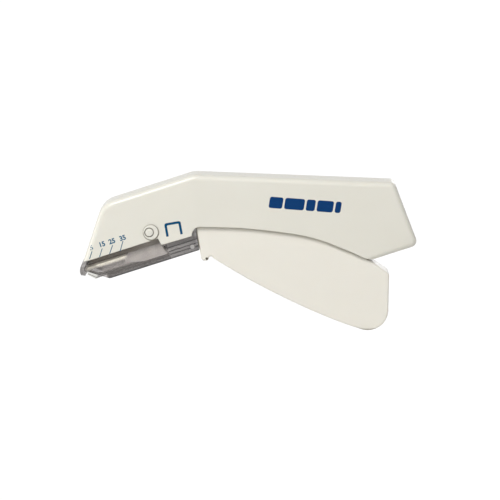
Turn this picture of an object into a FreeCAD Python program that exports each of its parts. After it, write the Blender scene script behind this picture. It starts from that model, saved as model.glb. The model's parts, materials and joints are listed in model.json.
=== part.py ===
import FreeCAD, Part
import math
import os

# Disposable skin stapler with a long handle, in millimetres.
# The trigger pivot is at X=0, Z=0 and the middle plane is Y=0.  The handle runs
# towards +X, the nose towards -X, and +Z is up, so the left side is -Y.
# At the end everything is moved to the centre of the whole object's box.

V = FreeCAD.Vector
Y_AXIS = V(0, 1, 0)

# --- housing ---
HALF_W = 10.0            # half width
WALL_SIDE = 1.8          # side wall of each half shell
WALL_EDGE = 2.0          # top, rear and rear-bottom wall
WALL_FRONT = 1.8         # nose front wall
PART_GAP = 0.05          # half of the gap on the parting plane
EDGE_R = 2.8             # outer edge rounding
OPENING_R = 0.4          # rounding along the openings
NOSE_R = 11.6            # outer corner at the top of the nose
BEND_R = 14.0            # outer corner where the slope meets the top
NOSE_FRONT = 28.4        # front face, measured square to the drive direction
BODY_DEPTH = 4.5         # lower edge of the nose, below the pivot's feed line
OVERLAP = 0.2            # how far an added feature runs into its wall

# --- trigger, lever and pivot ---
TRIG_HALF = 7.8
TRIG_WALL = 1.8
TRIG_INNER = TRIG_HALF - TRIG_WALL
ARM_HALF = 6.8           # half width of the trigger's front arm
LEVER_HALF = 1.0         # half thickness of the lever
PIN_R = 1.75             # trigger pivot pin
PIN_PLAY = 0.05
HUB_R = 3.9
RIVET_R = 1.2
RIVET_HOLE_R = 1.22
RIVETS = ((10.2, 3.3), (18.0, 5.6))      # lever rivets, x and z
SPRING_X = 36.0          # trigger spring axis, upright
SQUEEZE_DEG = 13.0       # trigger travel
REST_ANGLE = math.radians(SQUEEZE_DEG / 2)   # lever angle from square to the drive
LEVER_LEN = 24.0         # pivot to drive pin, measured square to the drive direction
STROKE = 2 * LEVER_LEN * math.tan(REST_ANGLE)

# --- driver ---
DRIVE_ANGLE = math.radians(71.5)         # below the horizontal, towards the nose
FORMER_END = 27.3        # lower end of the former plate, along the drive
FORMER_RIVETS_Y = (-4.2, 4.2)
FORMER_RIVETS_DOWN = 5.6
FORMER_HOLE_R = 0.92

# --- magazine ---
FEED_ANGLE = math.radians(17.8)          # magazine slope
MAG_OUT = 8.1            # half width outside
MAG_IN = 7.0             # half width inside
MAG_FLOOR = 15.8         # depth of the floor's upper face
MAG_BOTTOM = 16.9
LIP_INNER = 26.7         # front lip's inner face
WALL_DOWN = 30.0         # open lower edge of the side walls above the anvil
LEDGE_SINK = 0.2         # raised ribs start this far inside the side walls
LEDGE_W = 0.45
ROD_DEPTH = 11.2         # follower spring and its guide rod
ANVIL_DOWN = 31.3        # anvil's upper face at the front, along the drive

# --- staples ---
WIRE_R = 0.24
STAPLE_PITCH = 0.505     # measured square to the staple's plane
STACK_COUNT = 34
CROWN_HALF = 6.2
LEG_LEN = 3.0
BEND_STAPLE_R = 0.7
CROWN_DEPTH = 7.54
FIRST_STAPLE = 25.2      # foremost staple of the stack

# ---------------------------------------------------------------------------
# Places in the middle plane, all as (x, z)
# ---------------------------------------------------------------------------
DRIVE_X, DRIVE_Z = -math.cos(DRIVE_ANGLE), -math.sin(DRIVE_ANGLE)
FRONT_X, FRONT_Z = DRIVE_Z, -DRIVE_X     # square to the drive, towards the nose front
FEED_X, FEED_Z = -math.cos(FEED_ANGLE), -math.sin(FEED_ANGLE)
DEPTH_X, DEPTH_Z = -FEED_Z, FEED_X       # square to the feed, downwards


def drive_pt(front, down):
    """Point at a distance in front of the pivot and a distance down the drive."""
    return (front * FRONT_X + down * DRIVE_X, front * FRONT_Z + down * DRIVE_Z)


def feed_pt(forward, depth):
    """Point at a place along the feed and a depth below the pivot's feed line."""
    return (forward * FEED_X + depth * DEPTH_X, forward * FEED_Z + depth * DEPTH_Z)


def mixed_pt(front, depth):
    """Point at a distance in front of the pivot and a depth below the feed line."""
    down = ((depth - front * (FRONT_X * DEPTH_X + FRONT_Z * DEPTH_Z))
            / (DRIVE_X * DEPTH_X + DRIVE_Z * DEPTH_Z))
    return drive_pt(front, down)


def lever_pt(reach, up):
    """Point at a reach along the lever's front arm and a distance square to it, upwards."""
    x, z = drive_pt(math.cos(REST_ANGLE), -math.sin(REST_ANGLE))
    return (reach * x + up * z, reach * z - up * x)


def placed(place, points):
    return [place(*point) for point in points]


def rect(a0, b0, a1, b1, place=lambda x, z: (x, z)):
    """Corners of a rectangle in the frame of the given place function."""
    return placed(place, [(a0, b0), (a1, b0), (a1, b1), (a0, b1)])


def crossing(line_a, line_b):
    (x1, z1), (x2, z2) = line_a
    (x3, z3), (x4, z4) = line_b
    scale = (x1 - x2) * (z3 - z4) - (z1 - z2) * (x3 - x4)
    cross_a, cross_b = x1 * z2 - z1 * x2, x3 * z4 - z3 * x4
    return ((cross_a * (x3 - x4) - (x1 - x2) * cross_b) / scale,
            (cross_a * (z3 - z4) - (z1 - z2) * cross_b) / scale)


def shift(line, dist):
    """The line moved sideways by dist, to its right-hand side when walking along it."""
    (x1, z1), (x2, z2) = line
    length = math.hypot(x2 - x1, z2 - z1)
    move_x, move_z = (z2 - z1) / length * dist, -(x2 - x1) / length * dist
    return ((x1 + move_x, z1 + move_z), (x2 + move_x, z2 + move_z))


def height_at(line, x):
    (x1, z1), (x2, z2) = line
    return z1 + (x - x1) * (z2 - z1) / (x2 - x1)


# ---------------------------------------------------------------------------
# Solids from outlines
# ---------------------------------------------------------------------------
def at_y(point, y=0.0):
    return V(point[0], y, point[1])


def round_corner(item, before, after, y):
    """Start, end and arc of a rounded corner (x, z, radius) between two points."""
    corner, radius = at_y(item, y), item[2]
    to_before = (at_y(before, y) - corner).normalize()
    to_after = (at_y(after, y) - corner).normalize()
    half = to_before.getAngle(to_after) / 2
    setback = radius / math.tan(half)
    start, end = corner + to_before * setback, corner + to_after * setback
    middle = corner + (to_before + to_after).normalize() * (radius / math.sin(half) - radius)
    return start, end, Part.Arc(start, middle, end).toShape()


def outline(items, y):
    """Closed wire in the plane Y=y.

    An item is a corner (x, z), a rounded corner (x, z, radius) or a list of
    points for a smooth curve.
    """
    firsts = [item[0] if isinstance(item, list) else item for item in items]
    lasts = [item[-1] if isinstance(item, list) else item for item in items]
    count = len(items)
    spans = []           # start, end, edge
    for i, item in enumerate(items):
        if isinstance(item, list):
            spline = Part.BSplineCurve()
            spline.interpolate([at_y(point, y) for point in item])
            spans.append((at_y(item[0], y), at_y(item[-1], y), spline.toShape()))
        elif len(item) == 2:
            spans.append((at_y(item, y), at_y(item, y), None))
        else:
            spans.append(round_corner(item, lasts[i - 1], firsts[(i + 1) % count], y))
    edges = []
    for i, (_, end, edge) in enumerate(spans):
        if edge is not None:
            edges.append(edge)
        following = spans[(i + 1) % count][0]
        if (following - end).Length > 1e-6:
            edges.append(Part.makeLine(end, following))
    return Part.Wire(Part.__sortEdges__(edges))


def slab(items, y0, y1):
    """Solid between the planes Y=y0 and Y=y1 with the given outline."""
    return Part.Face(outline(items, y0)).extrude(V(0, y1 - y0, 0))


def plate(items, half):
    """Slab centred on the middle plane."""
    return slab(items, -half, half)


def rod(point, y0, y1, radius):
    """Cylinder across the stapler, with its ends given in either order."""
    low, high = sorted((y0, y1))
    return Part.makeCylinder(radius, high - low, at_y(point, low), Y_AXIS)


def cross_rod(point, half, radius):
    """Rod centred on the middle plane."""
    return rod(point, -half, half, radius)


def shaft(start, end, radius, y=0.0):
    """Cylinder between two points of the plane Y=y."""
    base, axis = at_y(start, y), at_y(end, y) - at_y(start, y)
    return Part.makeCylinder(radius, axis.Length, base, axis)


def coil(start, end, radius, wire_r, turns):
    """Round-wire compression spring between two points of the middle plane."""
    base, axis = at_y(start), at_y(end) - at_y(start)
    length = axis.Length - 2 * wire_r
    helix = Part.makeHelix(length / turns, length, radius)
    section = Part.Wire(Part.makeCircle(wire_r, V(radius, 0, 0), Y_AXIS))
    spring = Part.Wire(helix).makePipeShell([section], True, True)
    spring.translate(V(0, 0, wire_r))
    turn = FreeCAD.Rotation(V(0, 0, 1), axis)
    spring.Placement = FreeCAD.Placement(base, turn).multiply(spring.Placement)
    return spring


# ---------------------------------------------------------------------------
# Housing: two half shells
# ---------------------------------------------------------------------------
BASE = mixed_pt(NOSE_FRONT, BODY_DEPTH)                 # nose bottom corner
# Outer edge lines, each as two points (x, z)
FRONT_LINE = (BASE, (BASE[0] - DRIVE_X * 30, BASE[1] - DRIVE_Z * 30))
SLOPE_LINE = ((-17.0, 17.05), (17.0, 28.1))
TOP_LINE = ((23.2, 29.7), (123.1, 25.75))
REAR_LINE = ((126.7, 23.9), (136.9, -2.6))
UNDER_LINE = ((132.5, -9.1), (114.8, -14.9))
EDGE_LINES = (FRONT_LINE, SLOPE_LINE, TOP_LINE, REAR_LINE, UNDER_LINE)
NOSE, BEND, REAR, HEEL = [crossing(*pair) for pair in zip(EDGE_LINES, EDGE_LINES[1:])]
FRONT_FAR = drive_pt(NOSE_FRONT, 70.0)
UNDER_FAR = (60.0, height_at(UNDER_LINE, 60.0))
# Edges with the large rounding, run on past the openings
ROUNDED_OUTLINE = [
    FRONT_FAR, (*NOSE, NOSE_R), (*BEND, BEND_R), (*REAR, 3.2), (*HEEL, 3.4), UNDER_FAR,
]
# Lower edge of the side walls above the trigger, rear to front, (x, z)
SEAM = [
    (113.6, -14.5), (111.3, -13.95), (108.9, -13.0), (104.4, -10.9), (98.1, -8.3),
    (91.9, -5.8), (85.6, -3.7), (79.4, -2.1), (73.2, -1.0), (66.0, 0.0),
    (57.6, 1.0), (47.0, 1.9), (36.0, 2.4),
]
# Region kept above the openings
OPEN_OUTLINE = [
    feed_pt(60.0, BODY_DEPTH), (-60.0, 60.0), (160.0, 60.0), (160.0, -30.0),
    (117.4, -30.0), (116.4, -14.9),
    SEAM,
    (21.5, 2.62, 4.2), (21.2, -2.25, 0.3),
    (*feed_pt(-3.05, 8.2), 0.3), (*feed_pt(-2.4, BODY_DEPTH), 0.3),
]
INNER_FRONT = shift(FRONT_LINE, WALL_FRONT)
INNER_SLOPE, INNER_TOP, INNER_REAR, INNER_UNDER = [
    shift(line, WALL_EDGE) for line in EDGE_LINES[1:]]
CAVITY_REAR_X = 130.3    # rear end of the cavity's opening at the bottom
CAVITY_OUTLINE = [
    drive_pt(NOSE_FRONT - WALL_FRONT, 40.0),
    (*crossing(INNER_FRONT, INNER_SLOPE), NOSE_R - WALL_FRONT),
    (*crossing(INNER_SLOPE, INNER_TOP), BEND_R - WALL_EDGE),
    (*crossing(INNER_TOP, INNER_REAR), 1.6),
    (*crossing(INNER_REAR, INNER_UNDER), 1.6),
    (CAVITY_REAR_X, height_at(INNER_UNDER, CAVITY_REAR_X)), (CAVITY_REAR_X, -40.0),
]
JOIN_BOSSES = ((8.0, 19.5), (60.0, 23.4), (92.0, 22.2), (117.5, 20.6))   # x, z
TOP_RIBS_X = (50.0, 71.0, 82.0, 104.0)
COVER_PEGS = [feed_pt(forward, 3.3) for forward in (11.0, 28.0)]


def side_edges(solid, y, wanted):
    """Edges lying in the plane Y=y whose centre passes the test."""
    found = []
    for edge in solid.Edges:
        box = edge.BoundBox
        in_plane = abs(box.YMin - y) < 1e-4 and abs(box.YMax - y) < 1e-4
        if in_plane and wanted(edge.CenterOfMass):
            found.append(edge)
    return found


def on_outer_rim(c):
    """False only on the line that closes the rounded outline below."""
    return not (c.z < -30 and abs(c.x - (UNDER_FAR[0] + FRONT_FAR[0]) / 2) < 1.0)


def on_opening(c):
    return -30 < c.x < 112 and c.z < 5


def hollow_shell(side):
    """Rounded half shell with its openings and cavity."""
    y_out = side * HALF_W
    body = slab(ROUNDED_OUTLINE, side * PART_GAP, y_out)
    body = body.makeFillet(EDGE_R, side_edges(body, y_out, on_outer_rim))
    body = body.common(slab(OPEN_OUTLINE, -side * 5.0, side * 20.0))
    body = body.makeFillet(OPENING_R, side_edges(body, y_out, on_opening))
    return body.cut(slab(CAVITY_OUTLINE, -side * 2.0, side * (HALF_W - WALL_SIDE)))


def add_inner_features(body, side):
    y_root = side * (HALF_W - WALL_SIDE + OVERLAP)
    # boss round the pivot pin
    body = body.fuse(rod((0, 0), side * 7.0, y_root, 3.4))
    # rib that guides the driver block
    body = body.fuse(slab(rect(20.4, -5.5, 21.6, 14.0, drive_pt), side * 5.4, y_root))
    # pad for the trigger spring
    body = body.fuse(slab(rect(30.5, 26.4, 41.5, 28.6), side * PART_GAP, side * 5.5))
    # pegs that hold the magazine cover
    for point in COVER_PEGS:
        body = body.fuse(rod(point, side * 7.1, y_root, 0.9))
    # joining bosses along the top: bored on the left, with pegs on the right
    for point in JOIN_BOSSES:
        body = body.fuse(rod(point, side * 0.2, y_root, 2.4))
        if side < 0:
            body = body.cut(rod(point, -5.2, 0.5, 1.27))
        else:
            body = body.fuse(rod(point, -4.6, 0.6, 1.2))
    # upright ribs below the top wall
    for x in TOP_RIBS_X:
        rib = rect(x - 0.6, 20.6, x + 0.6, height_at(TOP_LINE, x) - 1.2)
        body = body.fuse(slab(rib, side * 4.0, y_root))
    # blind bore for the pivot pin
    return body.cut(rod((0, 0), side * 6.0, side * 9.2, PIN_R + 0.02))


def add_left_disc(body):
    """Raised disc over the pivot, with an off-centre ring groove and dome."""
    y_face = -HALF_W
    y_disc = y_face - 0.45
    disc_z, disc_r = -0.1, 3.85
    dome_at = (-0.85, disc_z)
    body = body.cut(rod((0.14, -0.3), y_face - 1, y_face + 0.45, 4.15))
    body = body.fuse(rod((0, disc_z), y_disc, y_face + 0.5, disc_r))
    body = body.fuse(Part.makeCone(disc_r, 3.55, 0.25, V(0, y_disc, disc_z), V(0, -1, 0)))
    groove = rod(dome_at, y_face - 1.2, y_face + 0.05, 2.5)
    body = body.cut(groove.cut(rod(dome_at, -11.5, -9.0, 2.0)))
    dome = Part.makeSphere(6.17, at_y(dome_at, y_face - 0.7 + 5.87))
    return body.fuse(dome.common(rod(dome_at, y_face - 1.2, y_face - 0.5, 1.9)))


def make_housing(side):
    """Half shell; side is -1 for the left half and +1 for the right half."""
    body = add_inner_features(hollow_shell(side), side)
    if side < 0:
        body = add_left_disc(body)
    else:
        # ring groove round the pivot
        body = body.cut(Part.makeTorus(3.7, 0.3, V(0, HALF_W, -0.1), Y_AXIS))
    return body.removeSplitter()


# ---------------------------------------------------------------------------
# Trigger and lever
# ---------------------------------------------------------------------------
HANDLE_OUTLINE = [
    (22.6, 5.4, 1.0), (26.2, -15.45, 1.8), (29.4, -15.5, 1.0),
    (30.35, -13.35, 0.4), (31.5, -13.25, 0.5),
    # underside
    [(32.7, -14.5), (37.5, -17.5), (42.0, -20.25), (51.3, -25.7), (66.9, -33.9),
     (82.5, -41.3), (98.1, -47.8), (107.6, -51.05)],
    # rounded rear end
    [(108.4, -51.3), (112.6, -52.1), (117.2, -51.1), (120.9, -48.3), (122.9, -44.4),
     (123.3, -40.5)],
    (123.6, -22.1, 2.6), (111.2, -13.5, 2.0), (106.0, -6.6, 4.0), (100.0, -4.4, 30.0),
    (84.0, 0.4, 40.0), (62.0, 5.0, 50.0), (40.0, 7.6, 30.0), (28.0, 7.9, 5.0),
]
HOLLOW_OUTLINE = [
    (34.5, 20.0), (34.5, -13.6, 2.0),
    [(42.5, -18.0), (51.8, -23.5), (67.4, -31.8), (82.9, -39.2), (98.3, -45.5),
     (106.5, -48.3)],
    (114.5, -49.7, 3.0), (121.2, -44.0, 5.0), (121.6, -23.6, 2.0),
    (112.5, -17.2), (112.5, 20.0),
]
HANDLE_RIBS = ((54.0, -26.0, 3.0), (74.0, -36.5, -0.2), (94.0, -45.0, -4.5))  # x, z low, z high
ARM_OUTLINE = [
    (-0.9, 3.79), (12.0, 8.2), (30.0, 8.0), (31.0, -6.0), (25.4, -6.5), (23.35, 3.0),
    (18.5, 3.0), (1.6, -3.55),
]
LEVER_ROOM = placed(lever_pt, [(0, -4.3), (9, -4.3), (9, 4.3)]) + [
    (2.0, 12.0), (23.0, 9.0), (23.0, 3.8), (6.0, -6.0),
]
# Front arm in the lever's frame, then the rear arm inside the trigger
LEVER_OUTLINE = placed(
    lever_pt, [(-1, -3.4), (15, -3.0), (24.9, -2.6), (24.9, 2.6), (15, 3.0)]) + [
    (-1.2, 3.3), (9.6, 6.3), (21.6, 8.0), (22.6, 4.4), (12.0, 0.9), (2.0, -3.3),
]


def make_handle():
    """Hollow handle with its ribs and spring seat."""
    handle = plate(HANDLE_OUTLINE, TRIG_HALF)
    rim = []
    for edge in handle.Edges:
        box, c = edge.BoundBox, edge.CenterOfMass
        if abs(box.YMin - box.YMax) < 1e-4 and (c.z < -16.5 or c.x > 113) and c.z < -12:
            rim.append(edge)
    handle = handle.makeFillet(1.0, rim)
    handle = handle.cut(plate(HOLLOW_OUTLINE, TRIG_INNER))
    for x, z0, z1 in HANDLE_RIBS:
        handle = handle.fuse(plate(rect(x - 0.7, z0, x + 0.7, z1), TRIG_INNER + OVERLAP))
    # small hollows on both sides of the front tab
    for y in (-8.5, 6.5):
        handle = handle.cut(rod((28.9, -14.3), y, y + 2.0, 0.7))
    # seat for the return spring
    return handle.fuse(plate(rect(30.0, 3.6, 42.5, 6.2), TRIG_INNER + OVERLAP))


def make_trigger():
    handle = make_handle()
    arm = plate(ARM_OUTLINE, ARM_HALF).fuse(cross_rod((0, 0), ARM_HALF, HUB_R))
    trigger = handle.fuse(arm)
    # round well for the return spring, with a peg inside it
    trigger = trigger.cut(Part.makeCylinder(4.3, 8.0, V(SPRING_X, 0, 6.2)))
    trigger = trigger.fuse(shaft((SPRING_X, 6.0), (SPRING_X, 8.8), 2.3))
    trigger = trigger.cut(plate(LEVER_ROOM, LEVER_HALF + 0.05))
    trigger = trigger.cut(cross_rod((0, 0), 8.5, PIN_R + PIN_PLAY))
    for point in RIVETS:
        trigger = trigger.cut(cross_rod(point, 8.5, RIVET_HOLE_R))
    return trigger.removeSplitter()


def make_lever():
    """Steel lever with an open fork at the front."""
    fork_r = 1.06
    lever = plate(LEVER_OUTLINE, LEVER_HALF)
    lever = lever.fuse(cross_rod((0, 0), LEVER_HALF, 3.5))
    lever = lever.cut(plate(rect(23.2, -fork_r, 26, fork_r, lever_pt), 3))
    lever = lever.cut(cross_rod(lever_pt(23.75, 0), 3, fork_r))
    lever = lever.cut(cross_rod((0, 0), 3, PIN_R + PIN_PLAY))
    for point in RIVETS:
        lever = lever.cut(cross_rod(point, 3, RIVET_HOLE_R))
    return lever.removeSplitter()


def make_lever_rivets():
    return Part.Compound([cross_rod(point, ARM_HALF - 0.1, RIVET_R) for point in RIVETS])


# ---------------------------------------------------------------------------
# Driver: block, former plate and their rivets
# ---------------------------------------------------------------------------
DRIVE_PIN_AT = drive_pt(LEVER_LEN, -STROKE / 2)
BLOCK_OUTLINE = placed(drive_pt, [
    (21.8, -5.0), (23.8, -5.0), (25.45, -3.4), (25.45, 8.0), (23.4, 8.0), (23.4, 3.4),
    (21.8, 1.8),
])


def former_rivet_shafts(front0, front1, radius):
    return [shaft(drive_pt(front0, FORMER_RIVETS_DOWN), drive_pt(front1, FORMER_RIVETS_DOWN),
                  radius, y) for y in FORMER_RIVETS_Y]


def make_driver_block():
    block = plate(BLOCK_OUTLINE, 7.8)
    # slot for the lever's fork
    block = block.cut(plate(rect(20, -7, 27, 1.1, drive_pt), 1.4))
    block = block.cut(cross_rod(DRIVE_PIN_AT, 9, 1.02))
    for hole in former_rivet_shafts(22, 27, FORMER_HOLE_R):
        block = block.cut(hole)
    return block.removeSplitter()


def make_former_plate():
    """Plate with a wide notch in its lower end."""
    former = plate(rect(25.5, -1.2, 26.25, FORMER_END, drive_pt), 6.5)
    former = former.cut(plate(rect(25, 20.5, 27, 30, drive_pt), 3.5))
    for hole in former_rivet_shafts(25, 27, FORMER_HOLE_R):
        former = former.cut(hole)
    return former.removeSplitter()


# ---------------------------------------------------------------------------
# Magazine
# ---------------------------------------------------------------------------
END_OUT = ((24.98, -9.9), (22.69, 2.2))                 # rear wall's outer face
END_IN = shift(END_OUT, -1.3)
END_TOP = ((0.0, 1.0), (40.0, 1.0))
BOTTOM_LINE = (feed_pt(0.0, MAG_BOTTOM), feed_pt(10.0, MAG_BOTTOM))
FLOOR_LINE = (feed_pt(0.0, MAG_FLOOR), feed_pt(10.0, MAG_FLOOR))
END_LOW = crossing(END_OUT, BOTTOM_LINE)
STEP_X = 20.9            # upright step in the side walls, near the rear wall
SIDE_WALL = [
    END_OUT[1], (STEP_X, 2.2), (STEP_X, (7.4 - STEP_X * DEPTH_X) / DEPTH_Z),
    *placed(feed_pt, [(-4.2, 7.4), (-3.2, 4.2), (5.6, 4.2), (7.2, 1.6)]),
    *placed(mixed_pt, [(24.4, 1.6), (25.2, 4.2), (26.3, 4.95), (26.9, 4.95)]),
    *placed(drive_pt, [(28.2, 30.5), (26.9, 33.2), (25.0, 32.9), (24.6, WALL_DOWN + 0.4),
                       (24.0, WALL_DOWN), (19.4, WALL_DOWN)]),
    *placed(feed_pt, [(32.4, 13.7), (30.2, 15.35), (28.2, 16.7), (27.2, MAG_BOTTOM)]),
    END_LOW,
]
FLOOR_OUTLINE = [
    crossing(END_OUT, FLOOR_LINE),
    *placed(feed_pt, [(29.55, MAG_FLOOR), (28.2, 16.7), (27.2, MAG_BOTTOM)]),
    END_LOW,
]
END_WALL = [
    crossing(END_IN, END_TOP), crossing(END_OUT, END_TOP), END_LOW,
    crossing(END_IN, BOTTOM_LINE),
]
LIP_OUTLINE = [
    [mixed_pt(28.3, 4.65), (-36.05, -17.3), (-36.7, -19.0), (-36.95, -20.8),
     (-36.7, -22.2), (-35.95, -23.15)],
    drive_pt(LIP_INNER, 33.15), mixed_pt(LIP_INNER, 4.65),
]
LONG_RIBS = ((-20.2, 11.7), (-20.44, 14.1))             # rear end along the feed, depth
FRONT_RIBS = ((29.3, 15.6), (30.2, 15.0), (31.1, 14.4))  # place along the feed, lower end
RIB_SIDES_Y = (-MAG_OUT - LEDGE_W + LEDGE_SINK, MAG_OUT - LEDGE_SINK)
MAG_PIN_AT = feed_pt(-18.0, 14.2)
ANVIL_OUTLINE = [
    *placed(feed_pt, [(-16.6, 14.3), (32.3, 14.3)]),
    *placed(drive_pt, [(19.6, ANVIL_DOWN), (24.3, ANVIL_DOWN), (24.3, ANVIL_DOWN + 1.5),
                       (23.4, ANVIL_DOWN + 1.75), (19.5, ANVIL_DOWN + 2.35)]),
    *placed(feed_pt, [(32.9, 15.4), (-16.6, 15.4)]),
]
ANVIL_TONGUE = placed(drive_pt, [
    (24.0, ANVIL_DOWN), (26.3, ANVIL_DOWN), (26.3, ANVIL_DOWN + 0.5), (24.0, ANVIL_DOWN + 0.75),
])
ANVIL_GROOVE = placed(drive_pt, [
    (24.0, ANVIL_DOWN + 0.85), (18.9, ANVIL_DOWN + 1.25), (18.9, ANVIL_DOWN + 1.65),
    (24.0, ANVIL_DOWN + 1.2),
])
EJECTOR_OUTLINE = [
    *placed(feed_pt, [(12.0, 13.7), (31.7, 13.7)]),
    *placed(drive_pt, [(19.5, ANVIL_DOWN - 0.5), (25.3, ANVIL_DOWN - 0.5),
                       (25.3, ANVIL_DOWN - 0.22), (19.65, ANVIL_DOWN - 0.22)]),
    *placed(feed_pt, [(31.8, 14.0), (12.0, 14.0)]),
]


def feed_bar(rear, front, top, bottom):
    """Outline along the feed whose front end is square to the feed plane of the driver."""
    return [feed_pt(rear, top), mixed_pt(front, top), mixed_pt(front, bottom),
            feed_pt(rear, bottom)]


def make_magazine_cover():
    left_wall = slab(SIDE_WALL, -MAG_OUT, -MAG_IN)
    right_wall = slab(SIDE_WALL, MAG_IN, MAG_OUT)
    floor, end_wall, lip = [
        plate(items, MAG_OUT) for items in (FLOOR_OUTLINE, END_WALL, LIP_OUTLINE)]
    cover = left_wall.fuse([right_wall, floor, end_wall, lip])
    # long ribs along the outside of the side walls
    for y in RIB_SIDES_Y:
        for rear, depth in LONG_RIBS:
            rib = rect(rear, depth - 0.22, -5.6, depth + 0.22, feed_pt)
            cover = cover.fuse(slab(rib, y, y + LEDGE_W))
    # holes for the guide rod, the magazine pin and the housing's pegs
    cover = cover.cut(shaft(feed_pt(-22.5, ROD_DEPTH), feed_pt(-18.7, ROD_DEPTH), 0.82))
    cover = cover.cut(cross_rod(MAG_PIN_AT, 9, 1.12))
    for point in COVER_PEGS:
        cover = cover.cut(cross_rod(point, 9, 0.95))
    # short upright ribs at the lower front corner of the side walls
    for forward, bottom in FRONT_RIBS:
        for y in RIB_SIDES_Y:
            rib = rect(forward, 13.1, forward + 0.4, bottom, feed_pt)
            cover = cover.fuse(slab(rib, y, y + LEDGE_W))
    return cover.removeSplitter()


def make_staple_guide():
    """Channel over the staple row, open below."""
    guide = plate(feed_bar(-2.2, 25.4, 4.8, 7.2), 6.85)
    guide = guide.cut(plate(rect(-4, 5.6, 45, 8.0, feed_pt), 5.9))
    return guide.removeSplitter()


def make_anvil():
    anvil = plate(ANVIL_OUTLINE, 3.0)
    # narrow forming tongue under the ready staple's crown
    anvil = anvil.fuse(plate(ANVIL_TONGUE, 2.0))
    # grooves along both sides of the block
    for y in (-3.5, 2.4):
        anvil = anvil.cut(slab(ANVIL_GROOVE, y, y + 1.1))
    return anvil.removeSplitter()


# ---------------------------------------------------------------------------
# Staples and follower
# ---------------------------------------------------------------------------
def make_staple(point):
    """Open staple: crown across the rail at the point, two legs down the drive."""
    down = V(DRIVE_X, 0, DRIVE_Z)

    def spot(y, depth):
        return Y_AXIS * y + down * depth

    radius, half = BEND_STAPLE_R, CROWN_HALF
    inset = radius * (1 - math.sqrt(0.5))                # arc's middle from the sharp corner
    left_leg, left_bend, left_crown = spot(-half, LEG_LEN), spot(-half, radius), \
        spot(radius - half, 0)
    right_crown, right_bend, right_leg = spot(half - radius, 0), spot(half, radius), \
        spot(half, LEG_LEN)
    path = Part.Wire([
        Part.makeLine(left_leg, left_bend),
        Part.Arc(left_bend, spot(inset - half, inset), left_crown).toShape(),
        Part.makeLine(left_crown, right_crown),
        Part.Arc(right_crown, spot(half - inset, inset), right_bend).toShape(),
        Part.makeLine(right_bend, right_leg),
    ])
    section = Part.Wire(Part.makeCircle(WIRE_R, left_leg, down))
    staple = path.makePipeShell([section], True, False)
    staple.translate(at_y(point))
    return staple


def make_staple_stack():
    return Part.Compound([
        make_staple(mixed_pt(FIRST_STAPLE - STAPLE_PITCH * i, CROWN_DEPTH))
        for i in range(STACK_COUNT)])


def make_follower():
    """Block behind the last staple."""
    front = FIRST_STAPLE - STAPLE_PITCH * (STACK_COUNT - 1) - WIRE_R - 0.05
    follower = plate([feed_pt(-2.4, 7.3), mixed_pt(front, 7.3), mixed_pt(front, 11.3),
                      feed_pt(8.5, 13.9), feed_pt(-4.4, 13.9)], 6.4)
    # slot for the rail, then the lower front and bottom recesses
    follower = follower.cut(plate(rect(-10, 7.7, 22, 8.58, feed_pt), 3.12))
    follower = follower.cut(plate(rect(9.5, 9.3, 24, 14, feed_pt), 3.4))
    follower = follower.cut(plate(rect(-8, 13.3, 24, 14.5, feed_pt), 3.4))
    # bore for the guide rod
    return follower.cut(
        shaft(feed_pt(-8, ROD_DEPTH), feed_pt(6.5, ROD_DEPTH), 1.05)).removeSplitter()


# ---------------------------------------------------------------------------
# All pieces, centred and written
# ---------------------------------------------------------------------------
parts = {
    "housing_left": make_housing(-1),
    "housing_right": make_housing(1),
    "pivot_pin": cross_rod((0, 0), 9.0, PIN_R),
    "trigger": make_trigger(),
    "drive_lever": make_lever(),
    "lever_rivets": make_lever_rivets(),
    "trigger_spring": coil((SPRING_X, 6.35), (SPRING_X, 26.2), radius=3.3, wire_r=0.45, turns=8),
    "driver_block": make_driver_block(),
    "drive_pin": cross_rod(DRIVE_PIN_AT, 7.4, 1.0),
    "former_plate": make_former_plate(),
    "former_rivets": Part.Compound(former_rivet_shafts(23.5, 26.4, 0.9)),
    "magazine_cover": make_magazine_cover(),
    "magazine_pin": cross_rod(MAG_PIN_AT, MAG_OUT, 1.1),
    "staple_guide": make_staple_guide(),
    "staple_rail": plate(feed_bar(-19.7, 25.35, 7.82, 8.45), 3.0),
    "anvil": make_anvil(),
    # leaf that lifts a closed staple off the anvil
    "ejector_spring": plate(EJECTOR_OUTLINE, 1.8),
    "staple_stack": make_staple_stack(),
    "ready_staple": make_staple(drive_pt(25.87, FORMER_END + WIRE_R + 0.03)),
    "follower": make_follower(),
    "spring_guide_rod": shaft(feed_pt(-21.15, ROD_DEPTH), feed_pt(4.5, ROD_DEPTH), 0.8),
    "follower_spring": coil(feed_pt(-19.8, ROD_DEPTH), feed_pt(-4.25, ROD_DEPTH),
                            radius=1.45, wire_r=0.2, turns=20),
}

whole = FreeCAD.BoundBox()
for shape in parts.values():
    whole.add(shape.optimalBoundingBox(False, False))
centre = V(*[round(value, 3) for value in whole.Center])
os.makedirs("parts", exist_ok=True)
for name, shape in parts.items():
    shape.translate(centre * -1)
    shape.exportStep("parts/" + name + ".step")
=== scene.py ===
"""Looks for the long-handled disposable skin stapler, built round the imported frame.

The stapler lies in the XZ plane, nose towards -X and handle towards +X, with Z up. Its left side,
which carries the printing and faces the camera, is -Y. Places on it are given in millimetres from
the trigger pivot, unless a comment says metres.
"""

import json
import math

import bmesh
import bpy
from mathutils import Matrix, Vector


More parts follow.
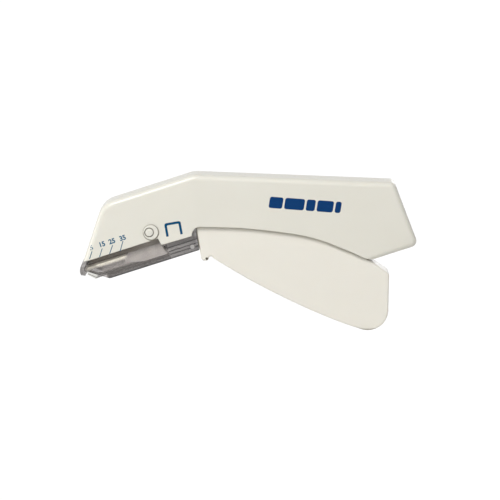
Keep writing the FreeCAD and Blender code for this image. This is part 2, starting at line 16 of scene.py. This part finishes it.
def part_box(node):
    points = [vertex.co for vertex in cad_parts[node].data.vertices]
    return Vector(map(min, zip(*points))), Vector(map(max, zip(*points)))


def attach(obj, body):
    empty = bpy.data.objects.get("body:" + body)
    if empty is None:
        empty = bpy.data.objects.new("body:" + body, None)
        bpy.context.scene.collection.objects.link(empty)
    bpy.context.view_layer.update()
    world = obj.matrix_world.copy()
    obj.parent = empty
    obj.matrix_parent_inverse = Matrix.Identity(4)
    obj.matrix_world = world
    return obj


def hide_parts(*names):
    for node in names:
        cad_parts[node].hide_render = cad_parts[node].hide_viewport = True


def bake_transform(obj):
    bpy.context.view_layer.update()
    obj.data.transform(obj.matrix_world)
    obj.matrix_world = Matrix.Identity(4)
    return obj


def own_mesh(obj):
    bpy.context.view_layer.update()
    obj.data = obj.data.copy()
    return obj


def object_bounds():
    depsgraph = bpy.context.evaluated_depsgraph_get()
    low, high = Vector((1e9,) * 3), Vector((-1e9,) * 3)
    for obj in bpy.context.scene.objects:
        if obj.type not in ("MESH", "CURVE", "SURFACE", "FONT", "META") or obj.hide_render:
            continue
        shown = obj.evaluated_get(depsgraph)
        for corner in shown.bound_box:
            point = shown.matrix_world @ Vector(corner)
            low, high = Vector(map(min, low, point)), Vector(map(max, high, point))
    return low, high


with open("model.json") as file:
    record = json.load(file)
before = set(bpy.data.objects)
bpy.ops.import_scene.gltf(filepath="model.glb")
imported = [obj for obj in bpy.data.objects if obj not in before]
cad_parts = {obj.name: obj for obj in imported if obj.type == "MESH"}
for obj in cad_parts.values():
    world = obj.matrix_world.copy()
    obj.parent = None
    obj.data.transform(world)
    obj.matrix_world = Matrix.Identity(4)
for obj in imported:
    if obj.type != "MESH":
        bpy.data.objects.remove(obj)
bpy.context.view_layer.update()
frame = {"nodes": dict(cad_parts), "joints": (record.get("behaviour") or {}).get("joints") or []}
nodes = frame["nodes"]
joints = {joint["name"]: joint for joint in frame["joints"]}
scene = bpy.context.scene

PIVOT = Vector(joints["trigger_squeeze"]["pos_m"])
DRIVE = Vector(joints["driver_slide"]["axis"]).normalized()
FEED = Vector(joints["follower_feed"]["axis"]).normalized()
NOSE = Vector((DRIVE.z, 0, -DRIVE.x))  # square to the drive, towards the nose front
DOWN = Vector((-FEED.z, 0, FEED.x))  # square to the feed, downwards
SIDE = Vector((0, 1, 0))
LEFT_FACE_Y = -(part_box("housing_right")[1].y - PIVOT.y) * 1000


def point(x, y, z):
    """Row-frame point from millimetres counted from the trigger pivot."""
    return PIVOT + Vector((x, y, z)) / 1000.0


def add_object(name, data):
    obj = bpy.data.objects.new(name, data)
    scene.collection.objects.link(obj)
    return obj


# ---------------------------------------------------------------------------
# node helpers
# ---------------------------------------------------------------------------
RISE, FALL = (0.0, 1.0), (1.0, 0.0)
MIDDLE = (0.3, 0.7)  # the band in which most noise values fall


class Nodes:
    """Short ways to add nodes to one node tree; an input takes a socket or a plain value."""

    def __init__(self, tree):
        self.tree = tree

    def put(self, socket, value):
        if isinstance(value, bpy.types.NodeSocket):
            self.tree.links.new(value, socket)
        elif socket.type == "RGBA":
            socket.default_value = (*value, 1.0)
        else:
            socket.default_value = value

    def fill(self, node, inputs):
        for key, value in inputs.items():
            self.put(node.inputs[key], value)

    def node(self, kind, inputs=None, **props):
        node = self.tree.nodes.new(kind)
        for key, value in props.items():
            setattr(node, key, value)
        self.fill(node, inputs or {})
        return node

    def coords(self, scale=(1, 1, 1), turn=(0, 0, 0)):
        source = self.node("ShaderNodeTexCoord").outputs["Object"]
        inputs = {"Vector": source, "Scale": scale, "Rotation": turn}
        return self.node("ShaderNodeMapping", inputs).outputs["Vector"]

    def along(self, axis):
        """Distance in millimetres from the trigger pivot along a direction of the row frame."""
        source = self.node("ShaderNodeTexCoord").outputs["Object"]
        offset = self.node("ShaderNodeVectorMath", {0: source, 1: tuple(PIVOT)},
                           operation="SUBTRACT")
        inputs = {0: offset.outputs[0], 1: tuple(axis * 1000.0)}
        dot = self.node("ShaderNodeVectorMath", inputs, operation="DOT_PRODUCT")
        return dot.outputs["Value"]

    def noise(self, vector, scale, detail=3.0, rough=0.5):
        inputs = {"Vector": vector, "Scale": scale, "Detail": detail, "Roughness": rough}
        return self.node("ShaderNodeTexNoise", inputs).outputs["Fac"]

    def remap(self, value, to=RISE, over=(0.0, 1.0)):
        """Runs between the two values of `to` while the input crosses `over`."""
        inputs = {"Value": value, "From Min": over[0], "From Max": over[1],
                  "To Min": to[0], "To Max": to[1]}
        return self.node("ShaderNodeMapRange", inputs).outputs["Result"]

    def mix(self, factor, first, second):
        inputs = {0: factor, 6: first, 7: second}
        return self.node("ShaderNodeMix", inputs, data_type="RGBA").outputs[2]

    def mix_shader(self, factor, first, second):
        return self.node("ShaderNodeMixShader", {0: factor, 1: first, 2: second}).outputs[0]

    def bump(self, height, distance, strength, **normal):
        inputs = {"Height": height, "Distance": distance, "Strength": strength}
        if normal:
            inputs["Normal"] = normal["normal"]
        return self.node("ShaderNodeBump", inputs).outputs["Normal"]

    def math(self, operation, first, second):
        return self.node("ShaderNodeMath", {0: first, 1: second}, operation=operation).outputs[0]

    def times(self, first, second):
        return self.math("MULTIPLY", first, second)

    def plus(self, first, second):
        return self.math("ADD", first, second)

    def most(self, first, second):
        return self.math("MAXIMUM", first, second)


def new_material(name):
    """A material, its node helper and the surface input of its output node."""
    material = bpy.data.materials.new(name)
    material.use_nodes = True
    net = Nodes(material.node_tree)
    net.tree.nodes.clear()
    return material, net, net.node("ShaderNodeOutputMaterial").inputs[0]


def shade(colour, factor, lift=0.0):
    return tuple(min(1.0, c * factor + lift) for c in colour)


def srgb(*colour):
    return tuple(((c / 255 + 0.055) / 1.055) ** 2.4 if c > 10 else c / 255 / 12.92 for c in colour)


# ---------------------------------------------------------------------------
# materials
# ---------------------------------------------------------------------------
def rubbed_edges(net, colour, light, strength, over):
    """Lightens the outer edges, found by how pointed the surface is."""
    geometry = net.node("ShaderNodeNewGeometry")
    rub = net.remap(geometry.outputs["Pointiness"], to=(0.0, strength), over=over)
    return net.mix(rub, colour, light)


def paint_crevice_shade(net, colour, dark, reach, over):
    """Painted shade: darkens a colour where other surfaces stand close, within reach in
    millimetres, in place of the shadow that gaps and overhangs get.
    """
    occlusion = net.node("ShaderNodeAmbientOcclusion", {"Distance": reach / 1000.0}, samples=8)
    return net.mix(net.remap(occlusion.outputs["AO"], to=FALL, over=over), colour, dark)


def moulded(name, colour, warm, rough=(0.30, 0.40), shade_reach=2.4, finish=None):
    """Moulded plastic: faint flow clouds, fine spark-eroded grain, edges rubbed a touch lighter,
    and painted shade darkening the colour in seams and under overhangs."""
    material, net, output = new_material(name)
    surface = net.node("ShaderNodeBsdfPrincipled", {
        "IOR": 1.49, "Coat Weight": 0.22, "Coat Roughness": 0.18,
        "Subsurface Weight": 0.06, "Subsurface Scale": 1.0,
        "Subsurface Radius": (0.0016, 0.0012, 0.0008)})
    vector = net.coords()
    flow = net.noise(net.coords(scale=(0.6, 1.0, 1.4)), scale=26, detail=4.0, rough=0.55)
    specks = net.noise(vector, scale=5200, detail=1.0)
    paint = net.mix(net.remap(flow, over=MIDDLE), colour, warm)
    paint = rubbed_edges(net, paint, shade(colour, 1.06), strength=0.35, over=(0.51, 0.60))
    # painted shade: the colour that seams and overhangs are darkened towards
    dark = tuple(c * k for c, k in zip(colour, (0.40, 0.37, 0.31)))
    paint = paint_crevice_shade(net, paint, dark, reach=shade_reach, over=(0.42, 0.92))
    smudge = net.noise(net.coords(turn=(0.3, 0.2, 0.5)), scale=95, detail=5.0, rough=0.6)
    gloss = net.remap(smudge, to=rough, over=MIDDLE)
    wave = net.noise(vector, scale=150, detail=2.0)
    waviness = net.bump(wave, distance=2.4e-5, strength=0.35)
    grain = net.bump(specks, distance=2.2e-6, strength=0.8, normal=waviness)
    net.fill(surface, {"Base Color": paint, "Roughness": gloss, "Normal": grain})
    net.put(output, surface.outputs[0])
    if finish:
        finish(net, surface)
    return material


def steel(name, colour, dark, rough=(0.22, 0.36), stretch=(1, 1, 1), turn=(0, 0, 0), scale=900,
          metal=1.0, shade_reach=0.9, finish=None):
    """Rolled or drawn steel: long fine grain, cloudy tarnish, edges polished by stamping."""
    material, net, output = new_material(name)
    surface = net.node("ShaderNodeBsdfPrincipled", {"Metallic": metal})
    grain = net.noise(net.coords(stretch, turn), scale=scale, detail=3.0, rough=0.6)
    cloud = net.noise(net.coords(), scale=220)
    paint = net.mix(net.remap(cloud, over=(0.35, 0.68)), colour, dark)
    paint = rubbed_edges(net, paint, shade(colour, 1.15), strength=0.6, over=(0.52, 0.62))
    # painted shade where other surfaces stand close
    if shade_reach:
        paint = paint_crevice_shade(net, paint, shade(dark, 0.30), reach=shade_reach, over=(0.35, 0.85))
    net.fill(surface, {
        "Base Color": paint,
        "Roughness": net.remap(grain, to=rough, over=MIDDLE),
        "Normal": net.bump(grain, distance=3e-6, strength=0.6)})
    net.put(output, surface.outputs[0])
    if finish:
        finish(net, surface)
    return material


def repaint_nosewards(net, surface, colour, to, over):
    """Mixes a colour in by an amount that changes towards the nose front."""
    socket = surface.inputs["Base Color"]
    paint = socket.links[0].from_socket
    net.put(socket, net.mix(net.remap(net.along(NOSE), to=to, over=over), paint, colour))


def bright_tip(net, surface):
    """A darker colour on the strip, the bright steel colour only on the block at the tip."""
    repaint_nosewards(net, surface, (0.36, 0.35, 0.34), to=FALL, over=(18.6, 19.6))


def paler_back(net, surface):
    """The dark guide gets some light at its open rear end."""
    repaint_nosewards(net, surface, (0.95, 0.92, 0.90), to=(0.22, 0.0), over=(0.0, 14.0))


def painted_crown_glow(net, surface):
    """Painted light: the crowns glow, strongest at the top of the row and fading out down the
    legs, in place of the light that comes down through the clear moulding.
    """
    glow = net.remap(net.along(DOWN), to=(0.30, 0.0), over=(8.7, 9.9))
    net.fill(surface, {"Emission Color": (1.0, 0.97, 0.86), "Emission Strength": glow})


def thick_parts(net, down, feed, nose, drive):
    """Where light runs the long way through the clear moulding."""
    bottom = net.remap(down, over=(16.15, 16.4))
    back = net.remap(feed, to=(0.22, 0.0), over=(-19.9, -19.3))
    front = net.times(net.remap(nose, to=(0.0, 0.36), over=(25.2, 25.7)),
                      net.remap(nose, to=FALL, over=(26.8, 27.4)))
    corner = net.times(net.remap(drive, to=(0.0, 0.26), over=(25.6, 27.0)),
                       net.remap(nose, over=(17.0, 18.2)))
    return bottom, net.most(net.most(bottom, back), net.most(front, corner))


def clear_window(net, down, nose):
    """The clearer upper area of the moulding."""
    window = net.times(net.remap(down, to=FALL, over=(10.1, 10.9)),
                       net.remap(nose, to=FALL, over=(25.0, 25.4)))
    return net.times(window, net.most(net.remap(down, to=FALL, over=(7.0, 7.4)),
                                      net.remap(nose, over=(7.4, 8.0))))


def long_lines(net, down, side, behind):
    """Three dark lines along the feed, on the left side of the rear part."""
    lines = None
    for line_down in (10.9, 12.9, 14.5):
        gap = net.math("ABSOLUTE", net.math("SUBTRACT", down, line_down), 0.0)
        line = net.remap(gap, to=FALL, over=(0.16, 0.36))
        lines = line if lines is None else net.most(lines, line)
    return net.times(net.times(lines, behind), net.remap(side, to=FALL, over=(-1.0, 1.0)))


def smoked(name, tint, body):
    """Thin smoke-tinted clear plastic: what is behind shows through the tint, more of the surface
    shows at a slant, and the moulding is darker at the floor, the end wall and the lip."""
    material, net, output = new_material(name)
    cloud = net.noise(net.coords(turn=(0.2, 0.1, 0.4)), scale=180)
    down, feed = net.along(DOWN), net.along(FEED)
    nose, drive = net.along(NOSE), net.along(DRIVE)
    side = net.along(SIDE)
    bottom, deep = thick_parts(net, down, feed, nose, drive)
    window = clear_window(net, down, nose)
    behind = net.remap(feed, to=FALL, over=(-5.9, -5.3))
    lines = long_lines(net, down, side, behind)
    haze = net.times(behind, net.remap(down, to=(0.40, 0.32), over=(9.1, 9.9)))
    haze = net.plus(haze, net.times(bottom, 0.30))
    grain = net.coords(scale=(0.25, 1, 1), turn=(0, math.radians(-17.8), 0))
    streak = net.noise(grain, scale=700, detail=2.0)

    # colour of the light let through, darker in bands below and above the staple row; the band
    # above is painted shadow of the housing's lower edge
    through = net.mix(net.remap(cloud, over=MIDDLE), tint, shade(tint, 0.94))
    through = net.mix(window, through, (0.96, 0.95, 0.94))
    beside_row = net.remap(nose, over=(7.4, 8.2))
    below = net.times(net.remap(down, over=(9.2, 10.4)),
                      net.remap(down, to=(1.0, 0.2), over=(11.0, 12.2)))
    through = net.mix(net.times(below, beside_row), through, shade(tint, 0.80))
    # painted shadow: the housing's lower edge shades this band over the staple row
    above = net.times(net.remap(down, over=(6.6, 7.2)),
                      net.remap(down, to=FALL, over=(7.8, 8.3)))
    through = net.mix(net.times(above, beside_row), through, shade(tint, 0.64))
    through = net.mix(lines, through, shade(tint, 0.74))
    through = net.mix(deep, through, shade(tint, 0.34))
    clear = net.node("ShaderNodeBsdfTransparent", {"Color": through})

    surface = net.node("ShaderNodeBsdfPrincipled", {"IOR": 1.58})
    paint = net.mix(net.remap(streak, over=(0.35, 0.65)), body, shade(body, 0.84))
    paint = net.mix(lines, paint, shade(body, 0.22))
    net.fill(surface, {
        "Base Color": net.mix(deep, paint, shade(body, 0.22)),
        "Roughness": net.remap(cloud, to=(0.09, 0.20), over=MIDDLE),
        "Normal": net.bump(streak, distance=6e-6, strength=0.4)})

    # share of the surface seen: least face on and in the window
    slant = net.node("ShaderNodeLayerWeight", {"Blend": 0.30})
    show = net.times(net.remap(window, to=(1.0, 0.45)),
                     net.plus(net.remap(slant.outputs["Facing"], to=(0.13, 0.72)),
                              net.times(deep, 0.12)))
    show = net.plus(show, net.plus(haze, net.times(lines, 0.10)))
    seen = net.mix_shader(show, clear.outputs[0], surface.outputs[0])

    # shadow rays pass almost freely, so the inside stays lit
    lit = net.node("ShaderNodeBsdfTransparent", {"Color": (0.94, 0.93, 0.925)})
    shadow = net.node("ShaderNodeLightPath").outputs["Is Shadow Ray"]
    net.put(output, net.mix_shader(shadow, seen, lit.outputs[0]))
    return material


def ink(name, colour):
    """Pad-printed ink, a little uneven in density and gloss."""
    material, net, output = new_material(name)
    surface = net.node("ShaderNodeBsdfPrincipled", {"Specular IOR Level": 0.12})
    dots = net.noise(net.coords(), scale=2600, detail=3.0, rough=0.6)
    thin = net.remap(dots, to=(0.0, 0.30), over=(0.45, 0.75))
    net.fill(surface, {
        "Base Color": net.mix(thin, colour, shade(colour, 1.4, lift=0.008)),
        "Roughness": net.remap(dots, to=(0.36, 0.52), over=MIDDLE),
        "Normal": net.bump(dots, distance=1.5e-6, strength=0.5)})
    net.put(output, surface.outputs[0])
    return material


# Moulded: main colour, colour of the flow clouds.
WHITE = moulded("moulded_white", (0.750, 0.730, 0.655), (0.728, 0.708, 0.628))
TRIGGER_WHITE = moulded("moulded_white_trigger", (0.820, 0.790, 0.715), (0.800, 0.770, 0.690),
                        rough=(0.32, 0.42))
FOLLOWER_GREY = moulded("follower_grey", (0.97, 0.95, 0.925), (0.90, 0.88, 0.855),
                        rough=(0.34, 0.46), shade_reach=0.5)
DRIVER_PLASTIC = moulded("driver_natural", (0.66, 0.65, 0.60), (0.62, 0.60, 0.55),
                         rough=(0.42, 0.55))
GUIDE_DARK = moulded("guide_dark", (0.56, 0.535, 0.525), (0.64, 0.61, 0.60),
                     rough=(0.36, 0.5), shade_reach=0.3, finish=paler_back)
PIN_GREY = moulded("pin_grey", (0.40, 0.385, 0.375), (0.34, 0.33, 0.32),
                   rough=(0.25, 0.35), shade_reach=0.3)
SMOKE = smoked("smoke_clear", tint=(0.86, 0.842, 0.832), body=(0.43, 0.412, 0.405))
# Steel: main colour, colour of the tarnish.
SHEET = steel("sheet_steel", (0.62, 0.61, 0.59), (0.47, 0.46, 0.45),
              stretch=(0.15, 1, 1), turn=(0, math.radians(-17.3), 0))
BRIGHT = steel("bright_steel", (0.90, 0.885, 0.84), (0.78, 0.77, 0.73),
               rough=(0.12, 0.24), stretch=(0.2, 1, 1), shade_reach=0.45, finish=bright_tip)
PIN_STEEL = steel("ground_pin", (0.64, 0.63, 0.61), (0.50, 0.49, 0.48), stretch=(1, 0.1, 1))
WIRE = steel("staple_wire", (1.0, 0.975, 0.88), (0.86, 0.83, 0.73), rough=(0.22, 0.38),
             stretch=(1, 0.12, 1), scale=1600, metal=0.28, shade_reach=0.0, finish=painted_crown_glow)
SPRING = steel("spring_wire", (0.58, 0.58, 0.59), (0.40, 0.40, 0.42),
               rough=(0.22, 0.34), scale=1400)
INK_BLUE = ink("ink_blue", srgb(0, 54, 106))
INK_SIGN = ink("ink_blue_sign", srgb(0, 70, 108))
INK_SMALL = ink("ink_blue_small", srgb(0, 86, 120))

LOOK = {
    "housing_left": WHITE, "housing_right": WHITE, "trigger": TRIGGER_WHITE,
    "magazine_cover": SMOKE, "staple_guide": GUIDE_DARK, "staple_rail": SHEET, "anvil": BRIGHT,
    "follower": FOLLOWER_GREY, "spring_guide_rod": PIN_STEEL, "magazine_pin": PIN_GREY,
    "ejector_spring": SHEET, "former_plate": SHEET, "former_rivets": PIN_STEEL,
    "driver_block": DRIVER_PLASTIC, "drive_pin": PIN_STEEL, "drive_lever": SHEET,
    "lever_rivets": PIN_STEEL, "pivot_pin": PIN_STEEL, "staple_stack": WIRE,
    "ready_staple": WIRE, "follower_spring": SPRING, "trigger_spring": SPRING,
}
for node_name, look in LOOK.items():
    part = nodes[node_name]
    if not part.material_slots:
        part.data.materials.append(None)
    for material_slot in part.material_slots:
        material_slot.link = "OBJECT"
        material_slot.material = look


# ---------------------------------------------------------------------------
# printing on the left side: generic marks and the staple-count scale
# ---------------------------------------------------------------------------
INK_THICKNESS = 0.018
INK_SINK = 0.004  # depth of the ink's underside below the housing face
EDGE_RADIUS = 2.8  # rounding of the housing's edges
EDGE_START = 25.6  # where that rounding begins at the nose


def print_outlines(name, outlines, material, centre=(0, 0), angle=0, shear=0.0):
    """Raised flat print from outlines of (x, z) points; each outline is its own island."""
    verts, faces = [], []
    cosine, sine = math.cos(math.radians(angle)), math.sin(math.radians(angle))
    for outline in outlines:
        base = len(verts)
        count = len(outline)
        for lift in (-INK_SINK, INK_THICKNESS):
            for x, z in outline:
                x = x + shear * z
                verts.append(point(centre[0] + x * cosine - z * sine, LEFT_FACE_Y - lift,
                                   centre[1] + x * sine + z * cosine))
        faces.append(tuple(base + count + i for i in range(count)))
        faces.append(tuple(base + i for i in reversed(range(count))))
        for i in range(count):
            j = (i + 1) % count
            faces.append((base + i, base + j, base + count + j, base + count + i))
    mesh = bpy.data.meshes.new(name)
    mesh.from_pydata([tuple(v) for v in verts], [], faces)
    mesh.validate()
    obj = add_object(name, mesh)
    mesh.materials.append(material)
    bm = bmesh.new()
    bm.from_mesh(mesh)
    bmesh.ops.recalc_face_normals(bm, faces=bm.faces)
    bm.to_mesh(mesh)
    bm.free()
    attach(obj, "housing")


def rounded_rect(centre_x, width, height, radius, steps=5):
    points = []
    for x_sign, z_sign, start in ((1, 1, 0), (-1, 1, 90), (-1, -1, 180), (1, -1, 270)):
        for i in range(steps + 1):
            turn = math.radians(start + 90 * i / steps)
            points.append((centre_x + x_sign * (width / 2 - radius) + radius * math.cos(turn),
                           z_sign * (height / 2 - radius) + radius * math.sin(turn)))
    return points


def print_label_blocks():
    """A slanting row of rounded blocks on the handle."""
    gap = 1.0
    blocks, left = [], -18.2
    for width in (7.0, 10.2, 4.6, 8.4, 3.0):
        blocks.append(rounded_rect(left + width / 2, width, height=5.9, radius=1.1))
        left += width + gap
    print_outlines("generic_label_blocks", blocks, INK_BLUE, centre=(79.4, 14.2), angle=-4.3,
                   shear=0.08)


def print_staple_sign():
    """An open-bottomed staple shape with softened corners."""
    half, top, bar = 4.3, 3.5, 1.25  # half width, half height, thickness of the bars
    outer, bevel, inner = 1.0, 0.3, 0.35  # outer corner cut and its middle point, inner cut
    right = [(half - outer, top), (half - bevel, top - bevel), (half, top - outer), (half, -top),
             (half - bar, -top), (half - bar, top - bar - inner), (half - bar - inner, top - bar)]
    left = [(-x, z) for x, z in reversed(right)]
    sign = left[3:] + right + left[:3]  # starts at the foot of the left leg's outer side
    print_outlines("staple_pictogram", [sign], INK_SIGN, centre=(11.7, 1.7), angle=10.0)


def print_ticks():
    half_width = 0.19
    # upper end (x, z), lower end (x, z)
    ticks = [((-30.5, -10.1), (-31.8, -14.2)), ((-25.2, -8.6), (-26.6, -13.0)),
             ((-19.8, -6.9), (-21.4, -11.4)), ((-14.4, -4.6), (-15.9, -10.0))]
    outlines = []
    for (x0, z0), (x1, z1) in ticks:
        length = math.hypot(x1 - x0, z1 - z0)
        side_x = -(z1 - z0) / length * half_width
        side_z = (x1 - x0) / length * half_width
        outlines.append([(x0 + side_x, z0 + side_z), (x0 - side_x, z0 - side_z),
                         (x1 - side_x, z1 - side_z), (x1 + side_x, z1 + side_z)])
    print_outlines("count_scale_ticks", outlines, INK_SMALL)


def print_number(label, x, z):
    """A numeral of the staple-count scale as thin raised ink, wrapped on to the nose edge."""
    name = "count_scale_" + label
    curve = bpy.data.curves.new(name + "_c", "FONT")
    curve.body = label
    curve.align_x, curve.align_y = "CENTER", "CENTER"
    curve.size = 3.5 / 1000
    curve.extrude = INK_THICKNESS / 1000 / 2
    curve.offset = 0.00011  # thickens the strokes, in metres
    curve.space_character = 0.96
    text = add_object(name + "_t", curve)
    bpy.context.view_layer.update()
    depsgraph = bpy.context.evaluated_depsgraph_get()
    mesh = bpy.data.meshes.new_from_object(text.evaluated_get(depsgraph), depsgraph=depsgraph)
    bpy.data.objects.remove(text)
    bpy.data.curves.remove(curve)
    sink = 0.002
    mesh.transform(Matrix.Translation(point(x, LEFT_FACE_Y - INK_THICKNESS / 2 + sink, z))
                   @ Matrix.Rotation(math.radians(-18.0), 4, "Y")
                   @ Matrix.Rotation(math.radians(90), 4, "X"))
    for vertex in mesh.vertices:
        over = (vertex.co - PIVOT).dot(NOSE) * 1000.0 - EDGE_START
        over = min(max(over, 0.0), EDGE_RADIUS)
        vertex.co.y += (EDGE_RADIUS - math.sqrt(EDGE_RADIUS ** 2 - over ** 2)) / 1000.0
    mesh.materials.clear()
    mesh.materials.append(INK_SMALL)
    obj = add_object(name, mesh)
    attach(obj, "housing")


print_label_blocks()
print_staple_sign()
print_ticks()
for number in (("5", -30.8, -8.4), ("15", -25.3, -6.5), ("25", -20.1, -4.9), ("35", -14.6, -3.2)):
    print_number(*number)


# ---------------------------------------------------------------------------
# springs and staples, which change shape in use: smooth-shaded copies of the imported parts
# ---------------------------------------------------------------------------
def copy_node(node, name, material):
    mesh = nodes[node].data.copy()
    mesh.name = name
    obj = add_object(name, mesh)
    mesh.materials.clear()
    mesh.materials.append(material)
    for polygon in mesh.polygons:
        polygon.material_index = 0
        polygon.use_smooth = True
    return obj


def add_trigger_spring():
    spring = copy_node("trigger_spring", "trigger_return_spring", SPRING)
    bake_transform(spring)
    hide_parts("trigger_spring")


def add_feed_spring():
    spring = copy_node("follower_spring", "feed_spring", SPRING)
    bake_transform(spring)
    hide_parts("follower_spring")


def add_staple_row():
    """A smooth-shaded copy of the staple stack with the wire look, in place of the imported part;
    the staples stay stacked.
    """
    row = copy_node("staple_stack", "staple_row", WIRE)
    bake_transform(row)
    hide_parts("staple_stack")


def add_first_staple():
    staple = copy_node("ready_staple", "first_staple", WIRE)
    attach(staple, "housing")
    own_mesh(staple)
    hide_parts("ready_staple")


add_trigger_spring()
add_feed_spring()
add_staple_row()
add_first_staple()

# ---------------------------------------------------------------------------
# stage, light, camera (metres)
# ---------------------------------------------------------------------------
box_low, box_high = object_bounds()


def floor_material():
    """Matt pale floor that the camera and mirror-like surfaces see as evenly lit white."""
    material, net, output = new_material("pale_floor")
    matt = net.node("ShaderNodeBsdfPrincipled", {"Roughness": 0.9, "Specular IOR Level": 0.1})
    cloud = net.noise(net.coords(), scale=6, detail=2.0)
    net.fill(matt, {"Base Color": net.mix(cloud, (0.80, 0.80, 0.79), (0.83, 0.83, 0.82))})
    glow = net.node("ShaderNodeEmission", {"Color": (1, 1, 1)})
    rays = net.node("ShaderNodeLightPath").outputs
    # glow is 0.85 in reflections and 0.2 more to the camera
    strength = net.plus(net.times(rays["Is Camera Ray"], 0.2), 0.85)
    net.fill(glow, {"Strength": strength})
    seen = net.most(rays["Is Camera Ray"], rays["Is Glossy Ray"])
    net.put(output, net.mix_shader(seen, matt.outputs[0], glow.outputs[0]))
    return material


def add_floor():
    """Floor that curves up into a wall behind the stapler."""
    half_width, bend_start, bend_radius, wall_height, steps = 2.2, 0.9, 0.7, 3.0, 12
    floor_z = box_low.z - 0.0006
    profile = [(-half_width, floor_z), (bend_start, floor_z)]  # (y, z)
    for i in range(1, steps + 1):
        turn = math.radians(90 * i / steps)
        profile.append((bend_start + bend_radius * math.sin(turn),
                        floor_z + bend_radius * (1 - math.cos(turn))))
    profile.append((bend_start + bend_radius, floor_z + wall_height))
    verts = [(x, y, z) for x in (-half_width, half_width) for y, z in profile]
    count = len(profile)
    material = floor_material()
    mesh = bpy.data.meshes.new("floor")
    mesh.from_pydata(verts, [], [(i, i + 1, i + 1 + count, i + count) for i in range(count - 1)])
    obj = add_object("floor", mesh)
    mesh.materials.append(material)
    for polygon in mesh.polygons:
        polygon.use_smooth = True


def set_world():
    """White surroundings: dim as light, brighter in reflections, full white to the camera."""
    world = bpy.data.worlds.new("studio")
    scene.world = world
    world.use_nodes = True
    net = Nodes(world.node_tree)
    rays = net.node("ShaderNodeLightPath").outputs
    strength = net.remap(rays["Is Glossy Ray"], to=(0.27, 0.80))
    net.fill(net.tree.nodes["Background"],
             {0: (1.0, 1.0, 1.0), 1: net.most(strength, rays["Is Camera Ray"])})


def aim(obj, location, target):
    obj.location = location
    obj.rotation_mode = "QUATERNION"
    direction = Vector(target) - Vector(location)
    obj.rotation_quaternion = direction.to_track_quat("-Z", "Y")


# name, location, width, height, power in watts
LIGHTS = [
    ("key_left", (-0.42, -0.78, 0.88), 0.50, 0.40, 10.0),
    ("rim_left", (-1.20, -0.10, 0.28), 0.5, 0.5, 3.2),
    ("fill_front", (0.55, -1.10, 0.50), 0.8, 0.5, 1.9),
    ("back_fill", (0.55, 1.10, 0.34), 0.6, 0.4, 3.0),
    ("top_strip", (0.0, -0.14, 0.85), 0.9, 0.10, 0.15),
]


def add_lights():
    for name, location, width, height, power in LIGHTS:
        light = bpy.data.lights.new(name, "AREA")
        light.shape = "RECTANGLE"
        light.size, light.size_y = width, height
        light.energy = power
        aim(add_object(name, light), location, (box_low + box_high) / 2)


def add_camera():
    """Stands 1.46 m away and looks down at about 8.9 degrees, so the top is just seen."""
    target = point(51.3, -10.0, -9.4)
    eye = point(51.3, -1454.0, 216.5)
    view_width = 0.2588  # width seen at the target
    data = bpy.data.cameras.new("camera")
    data.sensor_width = 36
    data.lens = 36 * (target - eye).length / view_width
    data.clip_start, data.clip_end = 0.01, 20
    camera = add_object("camera", data)
    aim(camera, eye, target)
    scene.camera = camera


add_floor()
set_world()
add_lights()
add_camera()
scene.view_settings.view_transform = "Standard"
scene.view_settings.look = "None"
